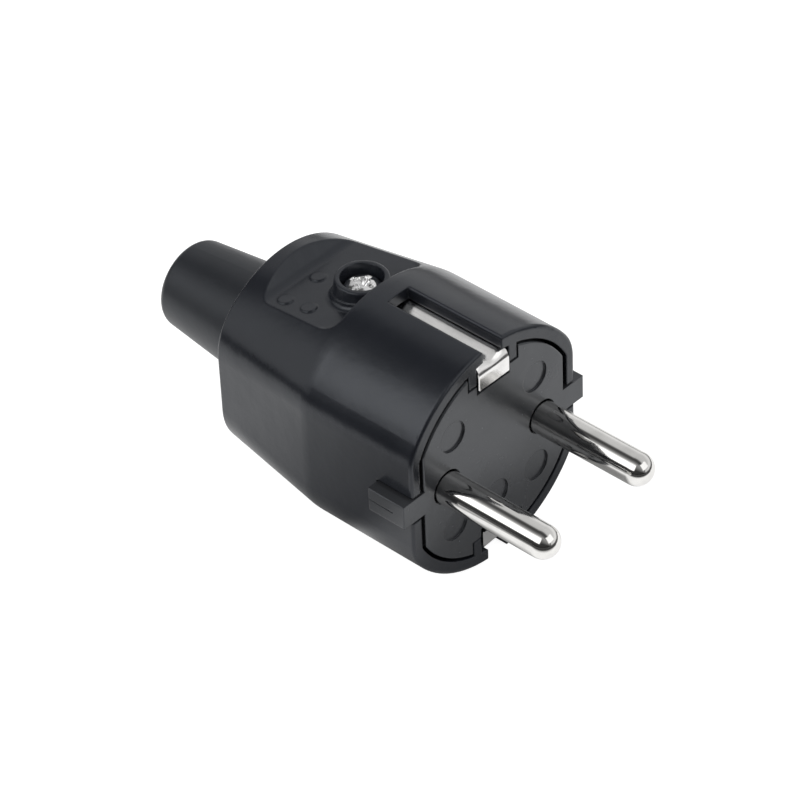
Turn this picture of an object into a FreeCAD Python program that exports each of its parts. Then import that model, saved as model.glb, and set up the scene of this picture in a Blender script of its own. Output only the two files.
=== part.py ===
import FreeCAD, Part
import math
import os

os.makedirs("parts", exist_ok=True)

# All lengths are millimetres. +X points the way the pins point and +Z is up. The origin is the middle of the
# round face that meets the socket.

# Pins
pin_radius = 2.4
pin_half_spacing = 9.5
pin_reach = 19.1
pin_neck_radius = 2.0
pin_neck_end_x = 0.1
pin_play = 0.1
pin_hole_lead = 0.15
pin_head_half_width = 3.2
pin_head_half_height = 4.0
pin_head_length = 9.2
pin_head_chamfer = 0.5
wire_hole_radius = 1.7
wire_hole_depth = 7.4

# Hood outside
hood_front_x = -0.05
hood_kink_x = -19.5
hood_rear_x = -38.15
hood_front_radius = 18.35
hood_front_flat_depth = 2.05
hood_taper = 2.7
hood_rear_flat_depth = 1.85
hood_front_corner_radius = 7.0
hood_rear_corner_radius = 9.0
hood_kink_blend = 9.0
hood_front_edge_radius = 0.5
hood_rear_edge_radius = 0.35

# Hood inside
hood_wall = 1.9
hood_flat_wall = 1.6
hood_rear_wall = 2.05
arc_gap = 0.5
flat_gap = 0.75
guide_rib_play = 0.2
guide_rib_half_width = 0.5
guide_rib_offset = 5.2
guide_rib_front_x = -2.0
guide_rib_rear_x = -15.0

# Earth contact slots in the hood and the two lugs beside each slot
slot_half_width = 1.9
slot_rear_x = -16.7
slot_edge_radius = 0.4
lug_inner_y = 3.2
lug_outer_y = 4.7
lug_length = 3.1
lug_rear_x = -8.3
lug_play = 0.3

# Sunk area on top of the hood
sunk_front_x = -20.3
sunk_foot_inset = 4.35
sunk_crest_inset = 1.55
sunk_ramp_rise = 3.2
sunk_foot_radius = 2.0
sunk_half_width = 9.9
sunk_depth = 2.85
sunk_floor_drop = 0.136
sunk_corner_radius = 3.0
sunk_floor_edge_radius = 0.7
sunk_lip_radius = 0.35
sunk_wall = 1.7
mark_radius = 1.3
mark_height = 0.2
mark_spots = ((-27.1, -6.6), (-31.2, -6.8), (-31.3, -0.4))

# Screw boss of the hood
boss_x = -23.35
boss_top_drop = 0.55
boss_top_radius = 3.75
boss_edge_radius = 0.3
boss_draft = 0.17
boss_foot_radius = 0.9
boss_hole_radius = 3.05
screw_seat_depth = 2.8
column_radius = 4.3
column_length = 3.8

# Contact block
plate_depth = 7.0
body_rear_x = -17.6
block_corner_radius = 1.0
block_edge_radius = 0.25
core_wall = 1.6
core_corner_radius = 0.6
face_recess_radius = 2.35
face_recess_depth = 0.3
face_recess_spots = ((8.15, 7.75), (-8.15, 7.75), (8.15, -7.75), (-8.15, -7.75), (0, -7.6))

# Side ears of the contact block
ear_reach = 1.75
ear_half_height = 1.86
ear_length = 6.4
ear_edge_radius = 0.2
ear_gap = 0.35
ear_line_front_x = -2.0
ear_line_depth = 0.15
ear_line_half_width = 0.12

# Pin sockets in the block
socket_play = 0.15
socket_lip = 0.95
socket_floor = 1.7

# Earth strap
strap_half_width = 2.95
strap_thickness = 0.8
strap_depth = 2.55
strap_front_x = 0.25
strap_leg_length = 3.45
strap_rear_bend_radius = 1.3
strap_front_bend_radius = 1.5
strap_side_gap = 0.3
strap_under_gap = 0.5
clip_pocket_depth = 2.2
clip_pocket_gap = 0.7

# Earth terminal on the web of the strap
bush_radius = 2.8
bush_length = 5.0
bush_play = 0.3
bush_chamfer = 0.3
earth_washer_half = 3.4
earth_washer_thickness = 0.9

# Carriage behind the block
tray_rear_inset = 4.35
tray_floor_top_z = -7.0
tray_floor_thickness = 2.0
tray_side_top_z = -3.0
rail_inner_y = 10.2
carriage_gap = 0.5
bridge_reach_rear = 3.45
bridge_reach_front = 3.15
bridge_thickness = 4.8

# Cord clamp
cord_radius = 4.7
saddle_length = 5.0
saddle_rear_inset = 0.2
saddle_root = 0.5
clamp_split_z = 1.0
clamp_half_span = 10.8
clamp_end_radius = 1.0
clamp_strap_thickness = 2.2
clamp_arch_wall = 2.0
clamp_side_gap = 0.2
clamp_screw_inset = 2.6
clamp_seat_play = 0.3
grip_height = 0.6
grip_width = 0.8
grip_offset = 1.1
grip_root = 0.5

# Small screws and nuts
thread_play = 0.1
thread_end_chamfer = 0.3
hood_screw_radius = 1.45
hood_screw_head_radius = 2.7
hood_screw_head_height = 2.1
hood_screw_head_rounding = 0.9
hood_screw_tip_reach = 1.0
cross_recess_half_length = 1.55
cross_recess_half_width = 0.4
cross_recess_depth = 1.4
cross_recess_floor_share = 0.35
nut_half = 2.75
nut_thickness = 1.8
nut_corner_chamfer = 0.3
nut_play = 0.15
nut_sink = 1.8
screw_through_play = 0.25
slot_screw_radius = 1.65
slot_screw_head_radius = 2.7
slot_screw_head_height = 2.0
slot_screw_head_chamfer = 0.4
driver_slot_half_width = 0.4
driver_slot_depth = 0.9
terminal_screw_tip_z = 0.3
clamp_screw_radius = 1.45
clamp_screw_head_radius = 2.55
clamp_screw_tip_z = -8.8
clamp_nut_top_z = -5.2

# Cable sleeve
sleeve_end_x = -57.5
sleeve_end_radius = 6.55
sleeve_root_radius = 8.6
sleeve_end_round = 1.2
sleeve_bore_radius = 4.5
sleeve_bore_chamfer = 0.3
sleeve_mouth_radius = 5.6
sleeve_mouth_length = 6.0
sleeve_hole_play = 0.3
flange_radius = 10.4
flange_thickness = 1.9

# Sizes that follow from the ones above
hood_front_half_flat = hood_front_radius - hood_front_flat_depth
hood_rear_radius = hood_front_radius - hood_taper
hood_rear_half_flat = hood_rear_radius - hood_rear_flat_depth
inner_front_radius = hood_front_radius - hood_wall
inner_front_half_flat = hood_front_half_flat - hood_flat_wall
block_radius = inner_front_radius - arc_gap
block_half_flat = inner_front_half_flat - flat_gap
cavity_rear_x = hood_rear_x + hood_rear_wall
cavity_share = (hood_kink_x - cavity_rear_x) / (hood_kink_x - hood_rear_x)
inner_rear_radius = inner_front_radius - cavity_share * (hood_front_radius - hood_rear_radius)
inner_rear_half_flat = inner_front_half_flat - cavity_share * (hood_front_half_flat - hood_rear_half_flat)
lug_tip_z = inner_front_radius - lug_length
sunk_foot_x = hood_rear_x + sunk_foot_inset
sunk_crest_x = hood_rear_x + sunk_crest_inset
sunk_floor_z = hood_front_radius - sunk_depth
boss_top_z = hood_front_radius - boss_top_drop
screw_seat_z = boss_top_z - screw_seat_depth
bridge_top_z = screw_seat_z - column_length
bridge_under_z = bridge_top_z - bridge_thickness
bridge_rear_x = boss_x - bridge_reach_rear
bridge_front_x = boss_x + bridge_reach_front
nut_top_z = bridge_top_z - nut_sink
hood_screw_tip_z = bridge_under_z - hood_screw_tip_reach
ear_half_span = hood_front_half_flat + ear_reach
strap_top_z = hood_front_radius - strap_depth
strap_leg_end_z = strap_top_z - strap_leg_length
channel_half_width = strap_half_width + strap_side_gap
channel_floor_z = strap_top_z - strap_thickness - strap_under_gap
clip_pocket_z = strap_leg_end_z - clip_pocket_gap
web_front_x = body_rear_x + strap_thickness
bush_front_x = web_front_x + bush_length
earth_thread_radius = slot_screw_radius + thread_play
hood_screw_hole_radius = hood_screw_radius + screw_through_play
clamp_hole_radius = clamp_screw_radius + screw_through_play
pin_head_rear_x = -plate_depth - pin_head_length
socket_half_width = pin_head_half_width + socket_play
socket_rear_x = pin_head_rear_x - socket_play
socket_floor_z = -pin_head_half_height - socket_play
terminal_screw_x = -plate_depth - 0.6 * pin_head_length
tray_rear_x = hood_rear_x + tray_rear_inset
saddle_rear_x = tray_rear_x + saddle_rear_inset
saddle_front_x = saddle_rear_x + saddle_length
clamp_top_z = clamp_split_z + clamp_strap_thickness
clamp_mid_x = 0.5 * (saddle_front_x + saddle_rear_x)
clamp_screw_y = clamp_half_span - clamp_screw_inset

# Cutting shapes run past the surface they break by this much, and whole ones end well outside the plug.
past = 1.0
outside = 2.0 * hood_front_radius


def box(x0, x1, y0, y1, z0, z1):
    return Part.makeBox(x1 - x0, y1 - y0, z1 - z0, FreeCAD.Vector(x0, y0, z0))


def rod(start, end, radius):
    base = FreeCAD.Vector(*start)
    run = FreeCAD.Vector(*end) - base
    return Part.makeCylinder(radius, run.Length, base, run)


def along_x(x0, x1, y, z, radius):
    return rod((x0, y, z), (x1, y, z), radius)


def along_z(x, y, z0, z1, radius):
    return rod((x, y, z0), (x, y, z1), radius)


def edges_where(shape, test):
    return [edge for edge in shape.Edges if all(test(vertex.Point) for vertex in edge.Vertexes)]


# The edges of a shape that lie on the skin of both given solids.
def edges_shared(shape, first, second):
    found = []
    skins = [Part.makeCompound(solid.Faces) for solid in (first, second)]
    for edge in shape.Edges:
        low, high = edge.ParameterRange
        spots = [Part.Vertex(edge.valueAt(low + share * (high - low))) for share in (0.0, 0.3, 0.6, 1.0)]
        if all(spot.distToShape(skin)[0] < 0.002 for spot in spots for skin in skins):
            found.append(edge)
    return found


def mirrored_in_z(shape):
    return shape.mirror(FreeCAD.Vector(0, 0, 0), FreeCAD.Vector(0, 0, 1))


# The outline shared by hood, cavity and block: a circle cut by two upright flats, with four rounded corners.
def outline(x, radius, half_flat, corner):
    corner_y = half_flat - corner
    corner_z = math.sqrt((radius - corner) ** 2 - corner_y ** 2)
    reach = radius / (radius - corner)
    blend = math.atan2(corner_z, corner_y) / 2.0

    def point(y, z):
        return FreeCAD.Vector(x, y, z)

    def arc(first, middle, last):
        return Part.Arc(point(*first), point(*middle), point(*last)).toShape()

    edges = []
    for side, up in ((1, 1), (-1, 1), (-1, -1), (1, -1)):
        on_flat = (side * half_flat, up * corner_z)
        on_arc = (side * corner_y * reach, up * corner_z * reach)
        between_y = side * (corner_y + corner * math.cos(blend))
        between_z = up * (corner_z + corner * math.sin(blend))
        if side * up > 0:
            edges.append(arc(on_flat, (between_y, between_z), on_arc))
            edges.append(arc(on_arc, (0, up * radius), (-on_arc[0], on_arc[1])))
        else:
            edges.append(arc(on_arc, (between_y, between_z), on_flat))
            edges.append(Part.makeLine(point(*on_flat), point(on_flat[0], -on_flat[1])))
    return Part.Wire(edges)


def lofted(*sections):
    wires = [outline(*section) for section in sections]
    return Part.makeLoft(wires, True, True)


# Hood

def hood_outside():
    wide = (hood_front_radius, hood_front_half_flat, hood_front_corner_radius)
    narrow = (hood_rear_radius, hood_rear_half_flat, hood_rear_corner_radius)
    front = lofted((hood_front_x, *wide), (hood_kink_x, *wide))
    rear = lofted((hood_kink_x, *wide), (hood_rear_x, *narrow))
    whole = front.fuse(rear)
    kink = edges_where(whole, lambda p: abs(p.x - hood_kink_x) < 0.01)
    whole = whole.makeFillet(hood_kink_blend, kink)
    front_rim = edges_where(whole, lambda p: abs(p.x - hood_front_x) < 0.01)
    whole = whole.makeFillet(hood_front_edge_radius, front_rim)
    rear_rim = edges_where(whole, lambda p: abs(p.x - hood_rear_x) < 0.01)
    return whole.makeFillet(hood_rear_edge_radius, rear_rim)


def cavity_envelope(gap):
    corner = block_corner_radius
    front = (inner_front_radius - gap, inner_front_half_flat - gap, corner)
    rear = (inner_rear_radius - gap, inner_rear_half_flat - gap, corner)
    straight = lofted((past, *front), (hood_kink_x, *front))
    tapered = lofted((hood_kink_x, *front), (cavity_rear_x, *rear))
    return straight.fuse(tapered)


# The sunk area's floor falls toward the rear like the taper below it, then climbs to the rear edge on a ramp.
def sunk_floor_height(x):
    return sunk_floor_z - sunk_floor_drop * (sunk_front_x - x)


def laid_on_floor(shape, x, y):
    tilt = -math.degrees(math.atan(sunk_floor_drop))
    shape.rotate(FreeCAD.Vector(0, 0, 0), FreeCAD.Vector(0, 1, 0), tilt)
    shape.translate(FreeCAD.Vector(x, y, sunk_floor_height(x)))
    return shape


def sunk_tool(grow):
    def floor_z(x):
        return sunk_floor_height(x) - grow

    roof = hood_front_radius + 2.0 * past
    front_x = sunk_front_x + grow
    points = (
        (front_x, floor_z(front_x)),
        (front_x, roof),
        (sunk_crest_x - grow, roof),
        (sunk_crest_x - grow, floor_z(sunk_foot_x) + sunk_ramp_rise),
        (sunk_foot_x - grow, floor_z(sunk_foot_x)),
    )
    half = sunk_half_width + grow
    wire = Part.makePolygon([FreeCAD.Vector(x, -half, z) for x, z in points + points[:1]])
    return Part.Face(wire).extrude(FreeCAD.Vector(0, 2 * half, 0))


def sunk_area():
    tool = sunk_tool(0.0)
    corners = edges_where(tool, lambda p: abs(p.x - sunk_front_x) < 0.01)
    corners = [edge for edge in corners if abs(edge.Vertexes[0].Z - edge.Vertexes[-1].Z) > 0.1]
    tool = tool.makeFillet(sunk_corner_radius, corners)
    roof = hood_front_radius + past
    foot = edges_where(tool, lambda p: p.z < roof and abs(p.x - sunk_foot_x) < 0.01)
    tool = tool.makeFillet(sunk_foot_radius, foot)
    wall_foot = edges_where(tool, lambda p: p.z < roof and p.x > sunk_front_x - sunk_corner_radius - 0.01)
    return tool.makeFillet(sunk_floor_edge_radius, wall_foot)


def floor_marks():
    discs = []
    for x, y in mark_spots:
        below = FreeCAD.Vector(0, 0, -mark_height)
        disc = Part.makeCone(mark_radius, mark_radius - mark_height, 2 * mark_height, below)
        discs.append(laid_on_floor(disc, x, y))
    return discs


# The boss is a tapered post with a concave foot that stands square to the sloping floor.
def boss():
    height = screw_seat_depth + 2.0 * past
    base_radius = boss_top_radius + boss_draft * height
    post = Part.makeCone(base_radius, boss_top_radius, height, FreeCAD.Vector(boss_x, 0, boss_top_z - height))
    rim = edges_where(post, lambda p: p.z > boss_top_z - 0.01)
    post = post.makeFillet(boss_edge_radius, rim)
    floor_z = sunk_floor_height(boss_x)
    foot = boss_foot_radius
    radius = boss_top_radius + boss_draft * (boss_top_z - floor_z)

    def point(r, h):
        return FreeCAD.Vector(r, 0, h)

    hollow = math.sqrt(0.5) * foot
    wide = radius + foot
    edges = [
        Part.makeLine(point(0, foot), point(0, -past)),
        Part.makeLine(point(0, -past), point(wide, -past)),
        Part.makeLine(point(wide, -past), point(wide, 0)),
        Part.Arc(point(wide, 0), point(wide - hollow, foot - hollow), point(radius, foot)).toShape(),
        Part.makeLine(point(radius, foot), point(0, foot)),
    ]
    flare = Part.Face(Part.Wire(edges)).revolve(FreeCAD.Vector(0, 0, 0), FreeCAD.Vector(0, 0, 1), 360)
    flare = laid_on_floor(flare, boss_x, 0)
    return [post, flare]


# The slot's cross-section opens out on an arc where it breaks through the outer skin.
def slot_tool():
    half = slot_half_width
    turn = slot_edge_radius
    skin_z = math.sqrt(hood_front_radius ** 2 - (half + turn) ** 2)
    hollow = math.sqrt(0.5) * turn

    def point(y, z):
        return FreeCAD.Vector(slot_rear_x, y, z)

    def rounding(side):
        first = point(side * half, skin_z - turn)
        middle = point(side * (half + turn - hollow), skin_z - turn + hollow)
        return Part.Arc(first, middle, point(side * (half + turn), skin_z)).toShape()

    edges = [
        rounding(-1),
        Part.makeLine(point(-half - turn, skin_z), point(-half - turn, outside)),
        Part.makeLine(point(-half - turn, outside), point(half + turn, outside)),
        Part.makeLine(point(half + turn, outside), point(half + turn, skin_z)),
        rounding(1),
        Part.makeLine(point(half, skin_z - turn), point(half, lug_tip_z)),
        Part.makeLine(point(half, lug_tip_z), point(-half, lug_tip_z)),
        Part.makeLine(point(-half, lug_tip_z), point(-half, skin_z - turn)),
    ]
    profile = Part.Face(Part.Wire(edges))
    return profile.extrude(FreeCAD.Vector(past - slot_rear_x, 0, 0))


def slot_and_lugs(hood):
    for up in (1, -1):
        slot = slot_tool()
        lugs = []
        for side in (1, -1):
            y0, y1 = sorted((side * lug_inner_y, side * lug_outer_y))
            lugs.append(box(lug_rear_x, hood_front_x, y0, y1, lug_tip_z, hood_front_radius - 0.5 * hood_wall))
        if up < 0:
            slot = mirrored_in_z(slot)
            lugs = [mirrored_in_z(lug) for lug in lugs]
        hood = hood.fuse(lugs).cut(slot)
    return hood


def make_hood():
    shell = hood_outside()
    inside = cavity_envelope(0.0).cut(sunk_tool(sunk_wall))
    column = along_z(boss_x, 0, bridge_top_z, screw_seat_z + past, column_radius)
    sunk = sunk_area()
    hood = shell.cut(sunk)
    hood = hood.makeFillet(sunk_lip_radius, edges_shared(hood, shell, sunk))
    for piece in boss() + floor_marks():
        hood = hood.fuse(piece)
    hood = hood.cut(inside.cut(column))
    hood = hood.cut(along_z(boss_x, 0, screw_seat_z, outside, boss_hole_radius))
    hood = hood.cut(along_z(boss_x, 0, 0, screw_seat_z + past, hood_screw_hole_radius))
    hood = slot_and_lugs(hood)
    notch_half = ear_half_height + ear_gap
    for side in (1, -1):
        y0, y1 = sorted((side * block_half_flat, side * outside))
        hood = hood.cut(box(-ear_length, past, y0, y1, -notch_half, notch_half))
    rib_tip = block_half_flat + guide_rib_play
    rib_root = hood_front_half_flat - 0.5 * hood_flat_wall
    half = guide_rib_half_width
    ribs = []
    for side in (1, -1):
        y0, y1 = sorted((side * rib_tip, side * rib_root))
        for z in (guide_rib_offset, -guide_rib_offset):
            ribs.append(box(guide_rib_rear_x, guide_rib_front_x, y0, y1, z - half, z + half))
    hood = hood.fuse(ribs)
    sleeve_hole = sleeve_root_radius + sleeve_hole_play
    hood = hood.cut(along_x(hood_rear_x - past, cavity_rear_x + past, 0, 0, sleeve_hole))
    return hood.removeSplitter()


# Contact block

def ear(side):
    y0, y1 = sorted((side * (block_half_flat - past), side * ear_half_span))
    piece = box(-ear_length, 0, y0, y1, -ear_half_height, ear_half_height)
    outer = edges_where(piece, lambda p: abs(abs(p.y) - ear_half_span) < 0.01)
    piece = piece.makeFillet(ear_edge_radius, outer)
    l0, l1 = sorted((side * (ear_half_span - ear_line_depth), side * (ear_half_span + past)))
    line = box(-ear_length, ear_line_front_x, l0, l1, -ear_line_half_width, ear_line_half_width)
    return piece.cut(line)


def block_body():
    body = lofted(
        (body_rear_x, block_radius, block_half_flat, block_corner_radius),
        (0, block_radius, block_half_flat, block_corner_radius),
    )
    front = edges_where(body, lambda p: abs(p.x) < 0.01)
    return body.makeFillet(block_edge_radius, front)


def cut_pin_sockets(body):
    hole_radius = pin_radius + pin_play
    for side in (1, -1):
        y = side * pin_half_spacing
        y0, y1 = y - socket_half_width, y + socket_half_width
        well = box(socket_rear_x, -plate_depth, y0, y1, socket_floor_z, outside)
        y0, y1 = y0 + socket_lip, y1 - socket_lip
        mouth = box(body_rear_x - past, socket_rear_x + past, y0, y1, socket_floor_z, outside)
        hole = along_x(-plate_depth - past, past, y, 0, hole_radius)
        foot = FreeCAD.Vector(-pin_hole_lead, y, 0)
        mouth_radius = hole_radius + pin_hole_lead
        lead = Part.makeCone(hole_radius, mouth_radius, pin_hole_lead, foot, FreeCAD.Vector(1, 0, 0))
        body = body.cut([well, mouth, hole, lead])
    return body


def cut_strap_channels(body):
    half = channel_half_width
    rib_notch = lug_outer_y + lug_play
    for up in (1, -1):
        channel = box(body_rear_x - past, past, -half, half, channel_floor_z, outside)
        clip_pocket = box(-clip_pocket_depth, past, -half, half, clip_pocket_z, outside)
        lug_pocket = box(lug_rear_x - lug_play, past, -rib_notch, rib_notch, lug_tip_z - lug_play, outside)
        tools = [channel, clip_pocket, lug_pocket]
        if up < 0:
            tools = [mirrored_in_z(tool) for tool in tools]
        body = body.cut(tools)
    web_slot = box(body_rear_x - past, web_front_x, -half, half, -outside, outside)
    bush_hole = along_x(web_front_x - past, bush_front_x + bush_play, 0, 0, bush_radius + bush_play)
    return body.cut([web_slot, bush_hole])


# The lower half is cored out from behind, which leaves an even wall, a middle rib and two thin ribs.
def cut_cores(body):
    core = lofted(
        (body_rear_x - past, block_radius - core_wall, block_half_flat - core_wall, core_corner_radius),
        (-plate_depth, block_radius - core_wall, block_half_flat - core_wall, core_corner_radius),
    )
    core = core.cut(box(-outside, past, -outside, outside, socket_floor_z - socket_floor, outside))
    middle_rib = channel_half_width + core_wall
    core = core.cut(box(-outside, past, -middle_rib, middle_rib, -outside, outside))
    for side in (1, -1):
        y = side * pin_half_spacing
        core = core.cut(box(-outside, past, y - 0.5 * core_wall, y + 0.5 * core_wall, -outside, outside))
    return body.cut(core)


def carriage():
    front = body_rear_x + past
    wide = hood_front_half_flat
    pieces = [box(tray_rear_x, front, -wide, wide, tray_floor_top_z - tray_floor_thickness, tray_floor_top_z)]
    for side in (1, -1):
        y0, y1 = sorted((side * rail_inner_y, side * wide))
        pieces.append(box(tray_rear_x, front, y0, y1, tray_floor_top_z, tray_side_top_z))
        pieces.append(box(bridge_rear_x, bridge_front_x, y0, y1, tray_floor_top_z, bridge_top_z))
    pieces.append(box(bridge_rear_x, bridge_front_x, -wide, wide, bridge_under_z, bridge_top_z))
    half = clamp_half_span
    saddle_foot_z = tray_floor_top_z - saddle_root
    pieces.append(box(saddle_rear_x, saddle_front_x, -half, half, saddle_foot_z, clamp_split_z))
    whole = pieces[0].fuse(pieces[1:])
    whole = whole.common(cavity_envelope(carriage_gap))
    whole = whole.cut(along_x(tray_rear_x - past, saddle_front_x + past, 0, 0, cord_radius))
    room = nut_half + nut_play
    nut_floor_z = nut_top_z - nut_thickness - 2 * nut_play
    whole = whole.cut(box(bridge_rear_x - past, boss_x + room, -room, room, nut_floor_z, nut_top_z))
    whole = whole.cut(along_z(boss_x, 0, 0, outside, hood_screw_hole_radius))
    for side in (1, -1):
        y = side * clamp_screw_y
        pocket = box(clamp_mid_x - room, clamp_mid_x + room, y - room, y + room, -outside, clamp_nut_top_z)
        hole = along_z(clamp_mid_x, y, -outside, outside, clamp_hole_radius)
        whole = whole.cut([pocket, hole])
    return whole


def make_contact_block():
    body = block_body()
    body = cut_pin_sockets(body)
    body = cut_cores(body)
    body = body.fuse([ear(1), ear(-1), carriage()])
    body = cut_strap_channels(body)
    recesses = [along_x(-face_recess_depth, past, y, z, face_recess_radius) for y, z in face_recess_spots]
    return body.cut(recesses).removeSplitter()


# Pins

def make_pin(side):
    y = side * pin_half_spacing
    tip_x = pin_reach - pin_radius
    neck = along_x(-plate_depth - past, pin_neck_end_x, y, 0, pin_neck_radius)
    shaft = along_x(pin_neck_end_x, tip_x, y, 0, pin_radius)
    tip = Part.makeSphere(pin_radius, FreeCAD.Vector(tip_x, y, 0))
    width = pin_head_half_width
    height = pin_head_half_height
    head = box(pin_head_rear_x, -plate_depth, y - width, y + width, -height, height)
    lengthwise = [e for e in head.Edges if abs(e.Vertexes[0].X - e.Vertexes[-1].X) > 0.1]
    head = head.makeChamfer(pin_head_chamfer, lengthwise)
    pin = head.fuse([neck, shaft, tip]).removeSplitter()
    wire_hole = along_x(pin_head_rear_x - past, pin_head_rear_x + wire_hole_depth, y, 0, wire_hole_radius)
    thread = along_z(terminal_screw_x, y, 0, height + past, slot_screw_radius + thread_play)
    return pin.cut([wire_hole, thread])


# Screws and nuts, each first drawn upright with the underside of its head at the origin

def slot_screw(radius, head_radius, length):
    head = along_z(0, 0, 0, slot_screw_head_height, head_radius)
    top = edges_where(head, lambda p: p.z > slot_screw_head_height - 0.01)
    head = head.makeChamfer(slot_screw_head_chamfer, top)
    shank = along_z(0, 0, -length, 0, radius)
    shank = shank.makeChamfer(thread_end_chamfer, edges_where(shank, lambda p: p.z < 0.01 - length))
    half = driver_slot_half_width
    cut_z = slot_screw_head_height - driver_slot_depth
    return head.fuse(shank).cut(box(-outside, outside, -half, half, cut_z, outside)).removeSplitter()


def cross_screw(length):
    head = along_z(0, 0, 0, hood_screw_head_height, hood_screw_head_radius)
    top = edges_where(head, lambda p: p.z > hood_screw_head_height - 0.01)
    head = head.makeFillet(hood_screw_head_rounding, top)
    shank = along_z(0, 0, -length, 0, hood_screw_radius)
    shank = shank.makeChamfer(thread_end_chamfer, edges_where(shank, lambda p: p.z < 0.01 - length))
    screw = head.fuse(shank)
    high = hood_screw_head_height + past
    deep = hood_screw_head_height - cross_recess_depth
    reach = cross_recess_half_length
    narrow = cross_recess_floor_share * reach
    half = cross_recess_half_width
    for turn in (45, 135):
        wing = Part.makePolygon([
            FreeCAD.Vector(-reach, 0, high),
            FreeCAD.Vector(-reach, 0, hood_screw_head_height),
            FreeCAD.Vector(-narrow, 0, deep),
            FreeCAD.Vector(narrow, 0, deep),
            FreeCAD.Vector(reach, 0, hood_screw_head_height),
            FreeCAD.Vector(reach, 0, high),
            FreeCAD.Vector(-reach, 0, high),
        ])
        blade = Part.Face(wing).extrude(FreeCAD.Vector(0, 2 * half, 0))
        blade.translate(FreeCAD.Vector(0, -half, 0))
        blade.rotate(FreeCAD.Vector(0, 0, 0), FreeCAD.Vector(0, 0, 1), turn)
        screw = screw.cut(blade)
    return screw.removeSplitter()


def square_nut(top_z):
    nut = box(-nut_half, nut_half, -nut_half, nut_half, top_z - nut_thickness, top_z)
    upright = [e for e in nut.Edges if abs(e.Vertexes[0].Z - e.Vertexes[-1].Z) > 0.1]
    nut = nut.makeChamfer(nut_corner_chamfer, upright)
    return nut.cut(along_z(0, 0, top_z - outside, top_z + past, hood_screw_radius + thread_play))


def moved(shape, x, y, z):
    shape.translate(FreeCAD.Vector(x, y, z))
    return shape


# A path of straight runs, with an arc of the given radius at each of its corners.
def bent_path(start, bends, end):
    corners = [start] + [corner for corner, radius in bends] + [end]
    edges = []
    at = start
    for index, (corner, radius) in enumerate(bends):
        back = (corners[index] - corner).normalize()
        onward = (corners[index + 2] - corner).normalize()
        half_angle = back.getAngle(onward) / 2.0
        setback = radius / math.tan(half_angle)
        inward = (back + onward).normalize() * (radius / math.sin(half_angle) - radius)
        edges.append(Part.makeLine(at, corner + back * setback))
        at = corner + onward * setback
        edges.append(Part.Arc(corner + back * setback, corner + inward, at).toShape())
    edges.append(Part.makeLine(at, end))
    return Part.Wire(edges)


# Earth strap: one flat strip bent into a U, with both ends turned in over the face.

def make_earth_strap():
    def point(x, z):
        return FreeCAD.Vector(x, -strap_half_width, z)

    bends = (
        (point(strap_front_x, -strap_top_z), strap_front_bend_radius),
        (point(body_rear_x, -strap_top_z), strap_rear_bend_radius),
        (point(body_rear_x, strap_top_z), strap_rear_bend_radius),
        (point(strap_front_x, strap_top_z), strap_front_bend_radius),
    )
    outer = bent_path(point(strap_front_x, -strap_leg_end_z), bends, point(strap_front_x, strap_leg_end_z))
    section = outer.makeOffset2D(-strap_thickness, 0, True, True)
    strap = section.extrude(FreeCAD.Vector(0, 2 * strap_half_width, 0))
    return strap.cut(along_x(body_rear_x - past, web_front_x + past, 0, 0, earth_thread_radius))


def make_earth_bush():
    bush = along_x(web_front_x, bush_front_x, 0, 0, bush_radius)
    bush = bush.makeChamfer(bush_chamfer, edges_where(bush, lambda p: p.x > bush_front_x - 0.01))
    return bush.cut(along_x(web_front_x - past, bush_front_x + past, 0, 0, earth_thread_radius))


def make_earth_washer():
    half = earth_washer_half
    rear = body_rear_x - earth_washer_thickness
    plate = box(rear, body_rear_x, -strap_half_width, strap_half_width, -half, half)
    return plate.cut(along_x(rear - past, body_rear_x + past, 0, 0, slot_screw_radius + screw_through_play))


def make_earth_screw():
    screw = slot_screw(slot_screw_radius, slot_screw_head_radius, bush_length)
    screw.rotate(FreeCAD.Vector(0, 0, 0), FreeCAD.Vector(0, 1, 0), -90)
    return moved(screw, body_rear_x - earth_washer_thickness, 0, 0)


# Cord clamp: a saddle strap with an arch over the cord and two ribs that bite it

def make_cord_clamp():
    rear = saddle_rear_x + clamp_side_gap
    front = saddle_front_x - clamp_side_gap
    half = clamp_half_span
    strap = box(rear, front, -half, half, clamp_split_z, clamp_top_z)
    ends = [e for e in strap.Edges if abs(e.Vertexes[0].Z - e.Vertexes[-1].Z) > 0.1]
    strap = strap.makeFillet(clamp_end_radius, ends)
    arch = along_x(rear, front, 0, 0, cord_radius + clamp_arch_wall)
    hollow = along_x(rear - past, front + past, 0, 0, cord_radius)
    below = box(rear - past, front + past, -outside, outside, -outside, clamp_split_z)
    clamp = strap.fuse(arch).cut([hollow, below])
    for offset in (-grip_offset, grip_offset):
        x0 = clamp_mid_x + offset - 0.5 * grip_width
        ring = along_x(x0, x0 + grip_width, 0, 0, cord_radius + grip_root)
        ring = ring.cut([along_x(x0 - past, x0 + grip_width + past, 0, 0, cord_radius - grip_height), below])
        clamp = clamp.fuse(ring)
    for side in (1, -1):
        y = side * clamp_screw_y
        hole = along_z(clamp_mid_x, y, 0, outside, clamp_hole_radius)
        seat = along_z(clamp_mid_x, y, clamp_top_z, outside, clamp_screw_head_radius + clamp_seat_play)
        clamp = clamp.cut([hole, seat])
    return clamp.removeSplitter()


# Cable sleeve: a turned, tapered tube with a flange held between the hood's rear wall and the block

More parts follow.
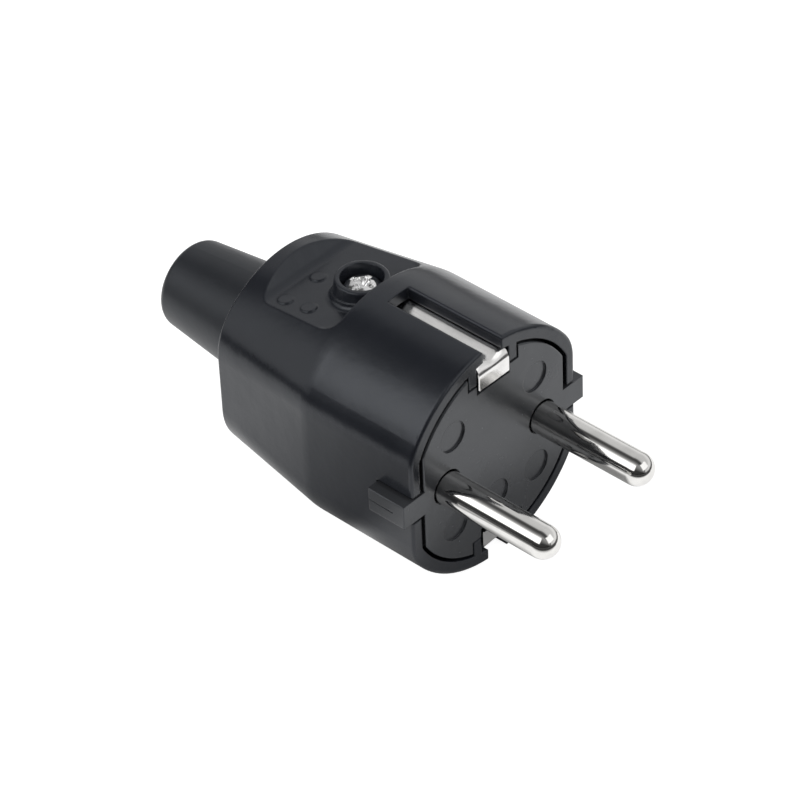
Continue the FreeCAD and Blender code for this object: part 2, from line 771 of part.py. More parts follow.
def make_cable_sleeve():
    back = cavity_rear_x
    front = back + flange_thickness
    turn = sleeve_end_round
    corner_x = sleeve_end_x + turn
    corner_r = sleeve_end_radius - turn
    slope = (sleeve_root_radius - sleeve_end_radius) / (hood_rear_x - sleeve_end_x)
    shoulder_r = sleeve_end_radius + slope * turn
    middle = FreeCAD.Vector(corner_x - turn * math.sqrt(0.5), 0, corner_r + turn * math.sqrt(0.5))

    def point(x, r):
        return FreeCAD.Vector(x, 0, r)

    outline_points = (
        (sleeve_end_x, corner_r),
        (sleeve_end_x, sleeve_bore_radius + sleeve_bore_chamfer),
        (sleeve_end_x + sleeve_bore_chamfer, sleeve_bore_radius),
        (front - sleeve_mouth_length, sleeve_bore_radius),
        (front, sleeve_mouth_radius),
        (front, flange_radius),
        (back, flange_radius),
        (back, sleeve_root_radius),
        (hood_rear_x, sleeve_root_radius),
        (corner_x, shoulder_r),
    )
    edges = [Part.makeLine(point(*a), point(*b)) for a, b in zip(outline_points, outline_points[1:])]
    edges.append(Part.Arc(point(corner_x, shoulder_r), middle, point(sleeve_end_x, corner_r)).toShape())
    profile = Part.Face(Part.Wire(edges))
    return profile.revolve(FreeCAD.Vector(0, 0, 0), FreeCAD.Vector(1, 0, 0), 360)


def upright_slot_screw(seat, tip_z, radius, head_radius):
    return moved(slot_screw(radius, head_radius, seat[2] - tip_z), *seat)


nodes = {
    "hood": make_hood(),
    "contact_block": make_contact_block(),
    "earth_strap": make_earth_strap(),
    "earth_bush": make_earth_bush(),
    "earth_washer": make_earth_washer(),
    "earth_screw": make_earth_screw(),
    "cord_clamp": make_cord_clamp(),
    "cable_sleeve": make_cable_sleeve(),
    "hood_screw": moved(cross_screw(screw_seat_z - hood_screw_tip_z), boss_x, 0, screw_seat_z),
    "hood_nut": moved(square_nut(nut_top_z), boss_x, 0, 0),
}

for name, side in (("left", 1), ("right", -1)):
    terminal = (terminal_screw_x, side * pin_half_spacing, pin_head_half_height)
    clamp = (clamp_mid_x, side * clamp_screw_y, clamp_top_z)
    nodes["pin_" + name] = make_pin(side)
    nodes["terminal_screw_" + name] = upright_slot_screw(
        terminal, terminal_screw_tip_z, slot_screw_radius, slot_screw_head_radius)
    nodes["clamp_screw_" + name] = upright_slot_screw(
        clamp, clamp_screw_tip_z, clamp_screw_radius, clamp_screw_head_radius)
    nodes["clamp_nut_" + name] = moved(square_nut(clamp_nut_top_z), clamp_mid_x, side * clamp_screw_y, 0)

for name, shape in nodes.items():
    shape.exportStep("parts/" + name + ".step")
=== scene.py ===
import math
import bpy
import numpy as np
from mathutils import Matrix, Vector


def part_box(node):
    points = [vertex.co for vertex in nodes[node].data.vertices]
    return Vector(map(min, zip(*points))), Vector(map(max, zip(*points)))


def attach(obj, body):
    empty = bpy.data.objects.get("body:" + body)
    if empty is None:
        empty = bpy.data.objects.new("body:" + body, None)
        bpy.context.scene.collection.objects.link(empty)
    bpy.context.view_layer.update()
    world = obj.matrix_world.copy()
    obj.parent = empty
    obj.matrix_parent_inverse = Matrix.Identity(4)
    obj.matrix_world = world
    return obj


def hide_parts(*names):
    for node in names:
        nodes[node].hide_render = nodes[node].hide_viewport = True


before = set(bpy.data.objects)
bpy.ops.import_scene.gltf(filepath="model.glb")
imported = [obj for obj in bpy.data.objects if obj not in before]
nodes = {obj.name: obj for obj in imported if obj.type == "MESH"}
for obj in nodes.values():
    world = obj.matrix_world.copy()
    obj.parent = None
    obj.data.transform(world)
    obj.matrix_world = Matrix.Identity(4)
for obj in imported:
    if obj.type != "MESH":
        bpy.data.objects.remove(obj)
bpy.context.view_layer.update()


# Contact block. The real piece is one thermoset moulding, hard and slightly glossy, pressed in a
# steel mould with a fine spark-eroded finish. It carries the pins and slides into the hood until
# its two side ears fill the notches.

def new_material(name):
    """A material with nodes, its node tree, and its Principled BSDF already wired to the output."""
    material = bpy.data.materials.new(name)
    material.use_nodes = True
    tree = material.node_tree
    return material, tree, tree.nodes["Principled BSDF"]


def add_node(tree, kind, **settings):
    """A new shader node of this kind with its plain settings made."""
    node = tree.nodes.new(kind)
    for key, value in settings.items():
        setattr(node, key, value)
    return node


def new_group(name, inputs, outputs):
    """A shader node group of plain values: (name, default) inputs and named outputs."""
    group = bpy.data.node_groups.new(name, "ShaderNodeTree")
    for label, value in inputs:
        socket = group.interface.new_socket(label, in_out="INPUT", socket_type="NodeSocketFloat")
        socket.default_value = value
    for label in outputs:
        group.interface.new_socket(label, in_out="OUTPUT", socket_type="NodeSocketFloat")
    return group, group.nodes.new("NodeGroupInput"), group.nodes.new("NodeGroupOutput")


def noise_of(tree, spots, waves, detail, stretch=(1.0, 1.0, 1.0)):
    """Noise over a piece's own coordinates: waves per metre, times stretch along each axis."""
    mapping = add_node(tree, "ShaderNodeMapping")
    mapping.inputs["Scale"].default_value = stretch
    tree.links.new(spots.outputs["Object"], mapping.inputs["Vector"])
    noise = add_node(tree, "ShaderNodeTexNoise")
    noise.inputs["Scale"].default_value = waves
    noise.inputs["Detail"].default_value = detail
    tree.links.new(mapping.outputs["Vector"], noise.inputs["Vector"])
    return noise.outputs["Fac"]


def spread(tree, value, span, levels):
    """Value carried in a straight line from span to levels, and held at both ends."""
    node = add_node(tree, "ShaderNodeMapRange")
    for label, number in zip(("From Min", "From Max", "To Min", "To Max"), (*span, *levels)):
        node.inputs[label].default_value = number
    tree.links.new(value, node.inputs["Value"])
    return node.outputs["Result"]


def combine(tree, operation, first, *others):
    """Values and numbers put through one kind of sum, from left to right."""
    for other in others:
        node = add_node(tree, "ShaderNodeMath", operation=operation)
        for socket, value in zip(node.inputs, (first, other)):
            if isinstance(value, (int, float)):
                socket.default_value = value
            else:
                tree.links.new(value, socket)
        first = node.outputs["Value"]
    return first


def weighed(tree, *parts):
    """The sum of value * weight over (value, weight) parts."""
    products = [combine(tree, "MULTIPLY", value, weight) for value, weight in parts]
    return combine(tree, "ADD", *products)


def shaded(tree, factor, deep, pale):
    """A colour that runs from deep at 0 to pale at 1. Inputs 6 and 7 and output 2 are colours."""
    mix = add_node(tree, "ShaderNodeMix", data_type="RGBA")
    mix.inputs[6].default_value = (*deep, 1)
    mix.inputs[7].default_value = (*pale, 1)
    tree.links.new(factor, mix.inputs["Factor"])
    return mix.outputs[2]


def add_bump(tree, shader, height, depth, normal=None):
    """Bumps the shader's normal by height * depth metres, over another normal if one is given."""
    bump = add_node(tree, "ShaderNodeBump")
    bump.inputs["Strength"].default_value = 1.0
    bump.inputs["Distance"].default_value = depth
    tree.links.new(height, bump.inputs["Height"])
    if normal is not None:
        tree.links.new(normal, bump.inputs["Normal"])
    tree.links.new(bump.outputs["Normal"], shader.inputs["Normal"])


def moulded_skin_group():
    """Mould finish: fine grain, a slow flow mottle in tint and gloss, and sparse lint and rubs.

    Flow swings about 0, and marks run from 0 to Marks. Tint = 0.5 + 1.6 * flow + 0.5 * marks,
    Roughness = Roughness + flow * Gloss Spread + 0.12 * marks, and Height = grain + long waves."""
    group, given, out = new_group(
        "moulded_skin", (("Roughness", 0.4), ("Gloss Spread", 0.08), ("Marks", 1.0)),
        ("Tint", "Roughness", "Height"))
    spots = add_node(group, "ShaderNodeTexCoord")
    grain = noise_of(group, spots, waves=7500.0, detail=3.0)
    pebble = noise_of(group, spots, waves=2600.0, detail=1.0)
    mottle = noise_of(group, spots, waves=130.0, detail=4.0)
    cloud = noise_of(group, spots, waves=45.0, detail=2.0)
    fluff = noise_of(group, spots, waves=1500.0, detail=2.0)
    streaks = noise_of(group, spots, waves=420.0, detail=5.0, stretch=(0.25, 1.0, 1.6))
    lint = spread(group, fluff, (0.70, 0.76), (0.0, 1.0))
    rubs = spread(group, streaks, (0.64, 0.74), (0.0, 0.45))
    marks = combine(group, "MAXIMUM", lint, rubs)
    marks = combine(group, "MULTIPLY", marks, given.outputs["Marks"])
    flow = combine(group, "SUBTRACT", weighed(group, (mottle, 0.6), (cloud, 0.4)), 0.5)
    tint = combine(group, "ADD", weighed(group, (flow, 1.6), (marks, 0.5)), 0.5)
    gloss = weighed(group, (flow, given.outputs["Gloss Spread"]), (marks, 0.12))
    roughness = combine(group, "ADD", given.outputs["Roughness"], gloss)
    height = weighed(group, (grain, 0.6), (pebble, 0.5), (mottle, 22.0), (cloud, 44.0))
    for label, value in (("Tint", tint), ("Roughness", roughness), ("Height", height)):
        group.links.new(value, out.inputs[label])
    return group


moulded_skin = moulded_skin_group()


def moulded_plastic(name, deep, pale, roughness, gloss_spread, marks, soft_edge, shine=0.5):
    """A black moulding, coloured from deep to pale by the skin's tint.

    The skin's bump stands on edges rounded over soft_edge metres. Shine is the specular level."""
    material, tree, shader = new_material(name)
    shader.inputs["Specular Tint"].default_value = (0.90, 0.94, 1.0, 1)
    shader.inputs["Specular IOR Level"].default_value = shine
    skin = add_node(tree, "ShaderNodeGroup", node_tree=moulded_skin)
    skin.inputs["Roughness"].default_value = roughness
    skin.inputs["Gloss Spread"].default_value = gloss_spread
    skin.inputs["Marks"].default_value = marks
    tree.links.new(shaded(tree, skin.outputs["Tint"], deep, pale), shader.inputs["Base Color"])
    tree.links.new(skin.outputs["Roughness"], shader.inputs["Roughness"])
    rounded = add_node(tree, "ShaderNodeBevel", samples=6)
    rounded.inputs["Radius"].default_value = soft_edge
    normal = rounded.outputs["Normal"]
    add_bump(tree, shader, skin.outputs["Height"], depth=0.000006, normal=normal)
    return material


def wears(material, *names):
    """Puts this material in every material slot of the named CAD nodes."""
    for name in names:
        piece = nodes[name]
        if not piece.material_slots:
            piece.data.materials.append(material)
        for slot in piece.material_slots:
            slot.material = material


block_plastic = moulded_plastic(
    "block_plastic", deep=(0.040, 0.042, 0.046), pale=(0.052, 0.054, 0.059),
    roughness=0.26, gloss_spread=0.10, marks=0.3, soft_edge=0.00012, shine=0.66)
wears(block_plastic, "contact_block", "cord_clamp")


# Pins. Each real pin is one turned piece of brass, nickel plated and tumbled bright, with a round
# tip and a square head that is drilled for the wire. The head sits in its pocket in the block, and
# the round shaft comes out through the face.

def plated_metal(name, colour, roughness, line_waves, line_stretch, marks, depth):
    """Bright plate over worked metal, with fine lines along the way it was worked.

    The lines are depth metres high and vary the roughness from 0.7 to 1.4 of its value. A faint
    haze dulls the colour to 0.86 of itself, and handling marks add up to marks to the roughness."""
    material, tree, shader = new_material(name)
    shader.inputs["Metallic"].default_value = 1.0
    spots = add_node(tree, "ShaderNodeTexCoord")
    lines = noise_of(tree, spots, waves=line_waves, detail=4.0, stretch=line_stretch)
    haze = noise_of(tree, spots, waves=300.0, detail=3.0)
    dulled = [0.86 * part for part in colour]
    tone = shaded(tree, spread(tree, haze, (0.3, 0.6), (0.0, 1.0)), dulled, colour)
    tree.links.new(tone, shader.inputs["Base Color"])
    worked = spread(tree, lines, (0.3, 0.7), (0.7 * roughness, 1.4 * roughness))
    handled = spread(tree, haze, (0.55, 0.8), (0.0, marks))
    tree.links.new(combine(tree, "ADD", worked, handled), shader.inputs["Roughness"])
    add_bump(tree, shader, lines, depth)
    return material


pin_plate = plated_metal(
    "pin_plate", colour=(0.82, 0.81, 0.79), roughness=0.075,
    line_waves=900.0, line_stretch=(0.12, 1.0, 1.0), marks=0.10, depth=0.0000015)
wears(pin_plate, "pin_left", "pin_right")


# Earth strap. The real one is a bent strip of springy bronze, nickel plated, that shows in both
# slots of the hood and turns in over the face. A washer, a screw and a bush behind the block hold
# its middle and the earth wire.

strap_plate = plated_metal(
    "strap_plate", colour=(0.88, 0.87, 0.86), roughness=0.14,
    line_waves=2500.0, line_stretch=(0.08, 1.0, 12.0), marks=0.08, depth=0.0000015)
strap_low, strap_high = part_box("earth_strap")
strap_thickness = 0.0004
strap_trough_depth = 0.00034
strap_trough_half_width = 0.0023
strap_front_bend = 0.0015
strap_rear_bend = 0.0006
strap_leg_end = 0.01235  # height at which the strip ends over the face
strap_edge_ridge = 0.00008
strap_step = 0.00025
strap_columns = 25
strap_bend_rows = 13
web_hole_radius = 0.00175
web_hole_reach = 8  # rows and columns from the hole's centre to the square that it takes


def straight_run(first, last, out):
    """Points about strap_step apart from first to last in X and Z, all with one way out."""
    count = round(math.dist(first, last) / strap_step)
    share = np.linspace(0.0, 1.0, count + 1)[:, None]
    points = np.array(first) * (1 - share) + np.array(last) * share
    return points, np.tile(np.array(out, float), (count + 1, 1))


def round_bend(x, z, radius, start, end):
    """Inner points of a quarter circle about (x, z): centre + radius * (cos a, sin a)."""
    angle = np.radians(np.linspace(start, end, strap_bend_rows)[1:-1])
    out = np.stack([np.cos(angle), np.sin(angle)], axis=1)
    return np.array([x, z]) + radius * out, out


def strap_line():
    """The strip's outer line in X and Z, and the way out at each of its points.

    Upper leg, front bend, top run, rear bend and web, then all but the web turned over."""
    front, rear, top = strap_high.x, strap_low.x, strap_high.z
    front_x, front_z = front - strap_front_bend, top - strap_front_bend
    rear_x, rear_z = rear + strap_rear_bend, top - strap_rear_bend
    upper = [
        straight_run((front, strap_leg_end), (front, front_z), (1, 0)),
        round_bend(front_x, front_z, strap_front_bend, 0, 90),
        straight_run((front_x, top), (rear_x, top), (0, 1)),
        round_bend(rear_x, rear_z, strap_rear_bend, 90, 180),
    ]
    web = straight_run((rear, rear_z), (rear, -rear_z), (-1, 0))
    halves = [np.concatenate([part[k] for part in upper]) for k in (0, 1)]
    over = np.array([1.0, -1.0])
    return [np.concatenate([half, middle, half[::-1] * over]) for half, middle in zip(halves, web)]


def smooth_step(value, low, high):
    """Zero below low, one above high, and 3 t^2 - 2 t^3 between."""
    t = np.clip((value - low) / (high - low), 0.0, 1.0)
    return t * t * (3.0 - 2.0 * t)


def strap_rings(line, out):
    """One ring of points round the strip at each point of its line.

    The runs in the slots are pressed into a shallow trough: the sides stand
    depth * (1 - cos(pi y / half width)) / 2 above the middle. The trough fades out round both
    bends, as the way out turns to X. Each edge of the strip comes to a low ridge in its middle."""
    half = strap_high.y
    width = np.linspace(-1.0, 1.0, strap_columns) * (half - strap_edge_ridge)
    rise = 0.5 * strap_trough_depth * (1.0 - np.cos(np.pi * width / strap_trough_half_width))
    run = 1.0 - smooth_step(np.abs(out[:, 0]), 0.0, 1.0)
    outer = line[:, None, :] + out[:, None, :] * (run[:, None] * rise)[..., None]
    inner = outer - out[:, None, :] * strap_thickness
    middle = 0.5 * (outer + inner)
    loops = np.concatenate([outer, middle[:, -1:], inner[:, ::-1], middle[:, :1]], axis=1)
    across = np.tile(np.concatenate([width, [half], width[::-1], [-half]]), (len(line), 1))
    return np.stack([loops[..., 0], across, loops[..., 1]], axis=-1)


def ring_faces(rows, around):
    """Quads (i, j), (i, j + 1), (i + 1, j + 1), (i + 1, j) of a grid whose columns close up."""
    i, j = np.meshgrid(np.arange(rows - 1), np.arange(around), indexing="ij")
    here, below, after = i * around, (i + 1) * around, (j + 1) % around
    return np.stack([here + j, here + after, below + after, below + j], axis=-1)


def web_hole(rings, quads):
    """Opens a round hole through the middle of the web, and gives the points and faces.

    It drops a square of faces on each side, draws the square's edge points to a circle and joins
    the two circles with a wall."""
    rows, around = rings.shape[:2]
    points, middle, reach = rings.reshape(-1, 3), rows // 2, web_hole_reach
    side, far = np.arange(-reach, reach), np.full(2 * reach, reach)
    down = middle + np.concatenate([-far, side, far, -side])
    across = np.concatenate([side, far, -side, -far])
    outer_middle = strap_columns // 2
    inner_middle = strap_columns + 1 + outer_middle
    keep = np.ones(quads.shape[:2], bool)
    rims = []
    for centre, way in ((outer_middle, 1), (inner_middle, -1)):
        keep[middle - reach:middle + reach, centre - reach:centre + reach] = False
        rim = down * around + centre + way * across
        square = points[rim, 1:]
        points[rim, 1:] = square * web_hole_radius / np.linalg.norm(square, axis=1, keepdims=True)
        rims.append(rim)
    outer, inner = rims
    wall = np.stack([outer, np.roll(outer, -1), np.roll(inner, -1), inner], axis=1)
    return points, np.concatenate([quads[keep], wall])


def closed_piece(name, points, faces, ends, material, sharp):
    """An object at the origin from quads and end faces, smooth but for edges over sharp degrees.

    Points that no face uses are left out."""
    used = np.unique(np.concatenate([faces.ravel(), *ends]))
    place = np.full(len(points), -1)
    place[used] = np.arange(len(used))
    polygons = place[faces].tolist() + [place[end].tolist() for end in ends]
    mesh = bpy.data.meshes.new(name)
    mesh.from_pydata(points[used].tolist(), [], polygons)
    mesh.polygons.foreach_set("use_smooth", [True] * len(mesh.polygons))
    mesh.set_sharp_from_angle(angle=math.radians(sharp))
    mesh.materials.append(material)
    piece = bpy.data.objects.new(name, mesh)
    bpy.context.scene.collection.objects.link(piece)
    return piece


rings = strap_rings(*strap_line())
rows, around = rings.shape[:2]
strap_points, strap_faces = web_hole(rings, ring_faces(rows, around))
strap_ends = [np.arange(around)[::-1], np.arange(around) + (rows - 1) * around]
strap = closed_piece("strap_strip", strap_points, strap_faces, strap_ends, strap_plate, sharp=35)
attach(strap, "root")
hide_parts("earth_strap")
terminal_brass = plated_metal(
    "terminal_brass", colour=(0.72, 0.56, 0.28), roughness=0.28,
    line_waves=2500.0, line_stretch=(1.0, 1.0, 0.2), marks=0.2, depth=0.000004)
wears(terminal_brass, "earth_bush")


# Small steel screws, nuts and the washer. All are cold headed or stamped and thinly zinc plated,
# and hold the wires, the cord clamp and the hood. They are hidden when the plug is closed.

screw_steel = plated_metal(
    "screw_steel", colour=(0.60, 0.60, 0.59), roughness=0.30,
    line_waves=3000.0, line_stretch=(1.0, 1.0, 0.15), marks=0.2, depth=0.000004)
wears(screw_steel, "earth_washer", "earth_screw", "terminal_screw_left", "terminal_screw_right",
      "clamp_screw_left", "clamp_screw_right", "clamp_nut_left", "clamp_nut_right", "hood_nut")


# Hood. The real hood is an injection moulding in black nylon with a satin skin. It slides over the
# block from behind, and one screw in the sunk boss pulls on the nut in the block's bridge.

hood_plastic = moulded_plastic(
    "hood_plastic", deep=(0.013, 0.015, 0.020), pale=(0.021, 0.023, 0.030),
    roughness=0.24, gloss_spread=0.16, marks=0.08, soft_edge=0.00035)
wears(hood_plastic, "hood")


# Hood screw. A cold-headed machine screw with a domed head, a rolled thread and bright zinc plate,
# its cross recess a little chewed by the driver. It sits at the bottom of the boss and runs down
# into the nut in the bridge.

hood_screw_plate = plated_metal(
    "hood_screw_plate", colour=(0.94, 0.94, 0.94), roughness=0.10,
    line_waves=1500.0, line_stretch=(1.0, 1.0, 1.0), marks=0.08, depth=0.000004)
screw_low, screw_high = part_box("hood_screw")
screw_x = 0.5 * (screw_low.x + screw_high.x)
screw_columns = 144
head_radius = 0.53 * (screw_high.x - screw_low.x)
head_height = 0.0021
head_side = 0.0006
head_bevel = 0.0001
dome_rings = 55
dome_rim_rings = 4  # rings at the dome's edge that the recess doesn't reach
shank_radius = 0.00145
thread_pitch = 0.0005
thread_rings = 8  # rings of points in one pitch
thread_depth = 0.00022
thread_start = 0.0002
thread_run_in = (0.0005, 0.0012)  # distances under the head over which the thread deepens
tip_height = 0.0003
tip_radius = 0.0003
tip_bevel = 0.00035
tip_narrowing = 0.0003
tip_taper = 0.0008
recess_turn = math.radians(8)
recess_reach = 0.0019
recess_half_width = 0.00042
recess_depth = 0.0017
recess_wall = 0.0001
well_radius = 0.0011
lip_radius = 0.0012
lip_width = 0.0004
tear_height = 0.00003
tear_waves = (5200, 4300, 9100)  # radians per metre along u, along v and aslant


def driver_recess(x, y):
    """Depth of the cross recess at x and y from the screw's axis.

    Two wings deepen as 1 - (u / reach)^1.3 and shelve over the width of a wall, and a cone opens
    the middle to 0.8 of the depth. Crossed waves along the wings' walls and in a raised ring round
    the middle stand for the metal that a slipping driver has torn and pushed up."""
    u = math.cos(recess_turn) * x + math.sin(recess_turn) * y
    v = math.cos(recess_turn) * y - math.sin(recess_turn) * x
    from_axis = np.hypot(u, v)
    along_u, along_v, aslant = tear_waves
    crossed = np.sin(along_u * u + 1.0) * np.sin(along_v * v + 2.0)
    tear = tear_height * (crossed + 0.5 * np.sin(aslant * (u - 0.6 * v)))
    wings = []
    for along, across in ((u, v), (v, u)):
        wall = np.clip((recess_half_width + tear - np.abs(across)) / recess_wall, 0.0, 1.0)
        wings.append(wall * (1.0 - np.clip(np.abs(along) / recess_reach, 0.0, 1.0) ** 1.3))
    well = 0.8 * np.clip(1.0 - from_axis / well_radius, 0.0, 1.0)
    lip = 0.7 * tear * np.exp(-((from_axis - lip_radius) / lip_width) ** 2)
    return recess_depth * np.maximum(np.maximum(*wings), well) - lip


def hood_screw_surface():
    """The screw as rings round its axis, and its top and bottom poles.

    Head: z = side + rise * (1 - (r / R)^2.4)^0.6 less the recess. Thread: r = shank less
    depth * |2 t - 1|, where t is the part of a pitch that z - pitch * turn has reached. The thread
    starts gently under the head, and the shank narrows to its tip."""
    turn = np.linspace(0.0, 2 * np.pi, screw_columns, endpoint=False)
    top, bottom, end = screw_high.z, screw_high.z - head_height, screw_low.z
    share = np.linspace(0.0, 1.0, dome_rings + 1)[1:]
    dome = bottom + head_side + (head_height - head_side) * (1.0 - share ** 2.4) ** 0.6
    under = np.array([
        [head_radius, bottom + head_bevel], [head_radius - head_bevel, bottom],
        [shank_radius, bottom]])
    thread_z = np.arange(bottom - thread_start, end + tip_height, -thread_pitch / thread_rings)
    tip = np.array([[shank_radius - tip_bevel, end], [tip_radius, end]])
    shank = np.full(len(thread_z), shank_radius)
    radius = np.concatenate([share * head_radius, under[:, 0], shank, tip[:, 0]])
    height = np.concatenate([dome, under[:, 1], thread_z, tip[:, 1]])
    r, z = (np.repeat(values[:, None], screw_columns, axis=1) for values in (radius, height))
    row = np.arange(len(radius))[:, None]
    threaded = (row >= dome_rings + len(under)) & (row < len(radius) - len(tip))
    phase = np.mod(z / thread_pitch - turn / (2 * np.pi), 1.0)
    groove = thread_depth * np.abs(2.0 * phase - 1.0) * smooth_step(bottom - z, *thread_run_in)
    narrowing = tip_narrowing * smooth_step(end + tip_taper - z, 0.0, tip_taper)
    r = np.where(threaded, r - groove - narrowing, r)
    x, y = r * np.cos(turn), r * np.sin(turn)
    z = np.where(row < dome_rings - dome_rim_rings, z - driver_recess(x, y), z)
    rings = np.stack([screw_x + x, y, z], axis=-1)
    poles = np.array([[screw_x, 0.0, top - driver_recess(0.0, 0.0)], [screw_x, 0.0, end]])
    return rings, poles


def capped(rings, poles):
    """Points and faces of closed rings with a fan of triangles to a pole at each end."""
    rows, around = rings.shape[:2]
    points = np.concatenate([rings.reshape(-1, 3), poles])
    quads = ring_faces(rows, around)[..., ::-1].reshape(-1, 4)
    j = np.arange(around)
    after, last_row, top_pole = (j + 1) % around, (rows - 1) * around, rows * around
    first = np.stack([np.full(around, top_pole), j, after], axis=1)
    last = np.stack([np.full(around, top_pole + 1), last_row + after, last_row + j], axis=1)
    return points, quads, [*first, *last]


screw_points, screw_faces, screw_ends = capped(*hood_screw_surface())
hood_screw = closed_piece(
    "hood_screw_threaded", screw_points, screw_faces, screw_ends, hood_screw_plate, sharp=50)
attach(hood_screw, "root")
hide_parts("hood_screw")


# Cable sleeve. The real one is a tapered tube of soft black PVC, pushed in from inside the hood
# until its flange stops it. It keeps the cord from kinking where it leaves the plug.

sleeve_plastic = moulded_plastic(
    "sleeve_plastic", deep=(0.015, 0.017, 0.021), pale=(0.025, 0.027, 0.033),
    roughness=0.40, gloss_spread=0.10, marks=1.2, soft_edge=0.0002)
wears(sleeve_plastic, "cable_sleeve")


# Floor. A white sheet under the plug, dark past its oval edge. It takes the plug's shadow and is
# white to the camera. To gloss and plating it shows a painted glow beside, in front of and beyond
# the plug, and a painted shadow close round it, where the plug's own shade falls.

floor_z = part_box("hood")[0].z
floor_half_side = 6.0
painted_glow_level = 0.8
corners = [(x * floor_half_side, y * floor_half_side, floor_z)
           for x, y in ((-1, -1), (1, -1), (1, 1), (-1, 1))]
floor_mesh = bpy.data.meshes.new("floor")
floor_mesh.from_pydata(corners, [], [(0, 1, 2, 3)])
floor = bpy.data.objects.new("floor", floor_mesh)
bpy.context.scene.collection.objects.link(floor)
white, tree, shader = new_material("white_sheet")
floor_mesh.materials.append(white)
shader.inputs["Roughness"].default_value = 0.9
path = add_node(tree, "ShaderNodeLightPath").outputs
split = add_node(tree, "ShaderNodeSeparateXYZ")
tree.links.new(add_node(tree, "ShaderNodeTexCoord").outputs["Object"], split.inputs["Vector"])
floor_x, floor_y = split.outputs["X"], split.outputs["Y"]


def oval_distance(tree, middle, half_widths):
    """Distance in the floor from the middle of an oval, as a share of the oval: 1 on its edge.

    The root of the sum over X and Y of ((place - middle) / half width)^2."""
    squares = []
    for place, centre, half_width in zip((floor_x, floor_y), middle, half_widths):
        away = combine(tree, "SUBTRACT", place, centre)
        share = combine(tree, "MULTIPLY", away, 1 / half_width)
        squares.append(combine(tree, "MULTIPLY", share, share))
    return combine(tree, "POWER", combine(tree, "ADD", *squares), 0.5)


edge_distance = oval_distance(tree, middle=(-0.06, 0.15), half_widths=(0.17, 0.24))
sheet = spread(tree, edge_distance, (0.92, 1.08), (1.0, 0.0))
tree.links.new(shaded(tree, sheet, (0.04, 0.04, 0.04), (0.45, 0.45, 0.45)),
               shader.inputs["Base Color"])

# Painted light and shade that only gloss and plating see: the glow rises away from the plug and
# drops to a painted shadow under and beside it, where the plug shades the floor.
painted_light_beside = spread(tree, floor_x, (-0.050, -0.020), (painted_glow_level, 0.08))
painted_shadow_distance = oval_distance(tree, middle=(-0.004, 0.006), half_widths=(0.0115, 0.019))
painted_light_in_front = combine(
    tree, "MINIMUM", spread(tree, floor_x, (-0.0195, -0.0135), (0.0, painted_glow_level)),
    spread(tree, painted_shadow_distance, (1.0, 1.7), (0.0, painted_glow_level)))
painted_light_beyond = combine(
    tree, "MULTIPLY", spread(tree, floor_y, (0.020, 0.035), (0.0, painted_glow_level)),
    spread(tree, floor_y, (0.055, 0.085), (1.0, 0.45)))
# The painted reflection glow, kept to the pale sheet.
painted_reflection_glow = combine(tree, "MULTIPLY", combine(tree, "MAXIMUM", painted_light_beside, painted_light_in_front, painted_light_beyond), sheet)

to_mirrors = combine(tree, "MAXIMUM", path["Is Glossy Ray"], path["Is Transmission Ray"])
to_camera = spread(tree, sheet, (0.0, 1.0), (1.0, 0.93))
seen = weighed(tree, (path["Is Camera Ray"], to_camera), (to_mirrors, painted_reflection_glow))
glow = add_node(tree, "ShaderNodeEmission")
tree.links.new(seen, glow.inputs["Strength"])
both = add_node(tree, "ShaderNodeAddShader")
tree.links.new(shader.outputs["BSDF"], both.inputs[0])
tree.links.new(glow.outputs["Emission"], both.inputs[1])
tree.links.new(both.outputs["Shader"], tree.nodes["Material Output"].inputs["Surface"])


# Studio. Pale walls on the far side, a dark gap overhead, a wide soft box high on the near side,
# a smaller one in front of the pins, and a pale fill at the rear of the near side. The room is dark
# along the horizon and low on the near side.

world = bpy.data.worlds.new("studio")
bpy.context.scene.world = world
world.use_nodes = True
tree = world.node_tree
spots = add_node(tree, "ShaderNodeTexCoord")
split = add_node(tree, "ShaderNodeSeparateXYZ")
tree.links.new(spots.outputs["Generated"], split.inputs["Vector"])
ahead, aside, above = (split.outputs[axis] for axis in "XYZ")
# The turn is 0 degrees at +Y, 90 overhead and 180 at -Y.
turn = spread(tree, combine(tree, "ARCTAN2", above, aside), (0.0, math.pi), (0.0, 180.0))


def levels_of(tree, angle, stops):
    """Brightness that goes straight from one (degrees, level) stop to the next."""
    bar = add_node(tree, "ShaderNodeValToRGB")
    ramp = bar.color_ramp
    ramp.elements[0].position = stops[0][0] / 180
    ramp.elements[1].position = stops[-1][0] / 180
    for degrees, level in stops[1:-1]:
        ramp.elements.new(degrees / 180)
    for element, (degrees, level) in zip(ramp.elements, stops):
        element.color = (level, level, level, 1)
    tree.links.new(combine(tree, "DIVIDE", angle, 180.0), bar.inputs["Fac"])
    return bar.outputs["Color"]


def window(tree, value, rising, falling):
    """One between the two spans, falling evenly to zero over each."""
    return combine(tree, "MULTIPLY", spread(tree, value, rising, (0.0, 1.0)),
                   spread(tree, value, falling, (1.0, 0.0)))


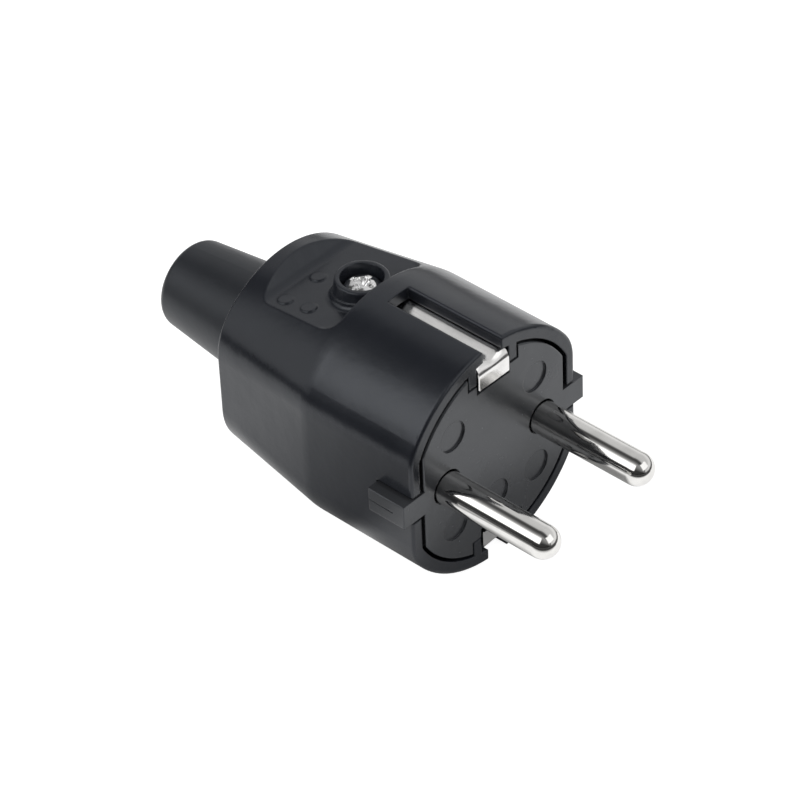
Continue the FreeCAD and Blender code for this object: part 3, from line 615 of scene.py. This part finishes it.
far_walls = ((0, 0.40), (14, 0.88), (24, 0.85), (38, 0.66), (60, 0.66), (76, 0.60))
gap_overhead = ((84, 0.13), (92, 0.05), (102, 0.12))
near_side = ((112, 0.34), (150, 0.04), (180, 0.04))
walls = combine(
    tree, "MULTIPLY", levels_of(tree, turn, far_walls + gap_overhead + near_side),
    spread(tree, ahead, (-0.85, -0.60), (0.6, 1.0)))
front_box = combine(
    tree, "MULTIPLY", window(tree, ahead, (0.34, 0.44), (2.0, 3.0)),
    window(tree, above, (0.28, 0.36), (0.82, 0.88)),
    window(tree, aside, (-0.24, -0.14), (0.48, 0.70)), 1.25)
near_box = combine(
    tree, "MULTIPLY", window(tree, turn, (110.0, 131.0), (152.0, 160.0)),
    window(tree, ahead, (-0.72, -0.60), (0.20, 0.34)), 2.2)
horizon = combine(
    tree, "MAXIMUM", spread(tree, above, (-0.02, 0.14), (0.06, 1.0)),
    spread(tree, ahead, (-0.48, -0.30), (1.0, 0.0)))
rear_fill = combine(
    tree, "MULTIPLY", spread(tree, aside, (-0.42, -0.15), (0.85, 0.0)),
    spread(tree, ahead, (-0.66, -0.56), (1.0, 0.0)))
room = combine(tree, "MULTIPLY", combine(tree, "MAXIMUM", walls, front_box, near_box), horizon)
background = tree.nodes["Background"].inputs
background["Color"].default_value = (1, 1, 1, 1)
tree.links.new(combine(tree, "MAXIMUM", room, rear_fill), background["Strength"])


# Camera. A long lens a little over half a metre from the pins' side, above and to the right of
# the plug.

def turned_frame(azimuth, elevation, roll):
    """Right, up and back of a camera that looks from here and is rolled about its line of sight."""
    a, e, r = np.radians([azimuth, elevation, roll])
    back = np.array([np.sin(a) * np.cos(e), -np.cos(a) * np.cos(e), np.sin(e)])
    level = np.array([np.cos(a), np.sin(a), 0.0])
    upright = np.cross(back, level)
    right = np.cos(r) * level + np.sin(r) * upright
    up = np.cos(r) * upright - np.sin(r) * level
    return right, up, back


right, up, back = turned_frame(azimuth=44.297, elevation=39.607, roll=-2.624)
to_right, upward, away = -0.01272, 0.00684, 0.53363
stand = to_right * right + upward * up + away * back
lens = bpy.data.cameras.new("camera")
lens.sensor_width = 36.0
lens.lens = 180.0
lens.clip_start = 0.01
lens.clip_end = 100.0
camera = bpy.data.objects.new("camera", lens)
bpy.context.scene.collection.objects.link(camera)
sides = [[right[i], up[i], back[i], stand[i]] for i in range(3)]
camera.matrix_world = Matrix(sides + [[0, 0, 0, 1]])
bpy.context.scene.camera = camera
bpy.context.scene.view_settings.view_transform = "Standard"
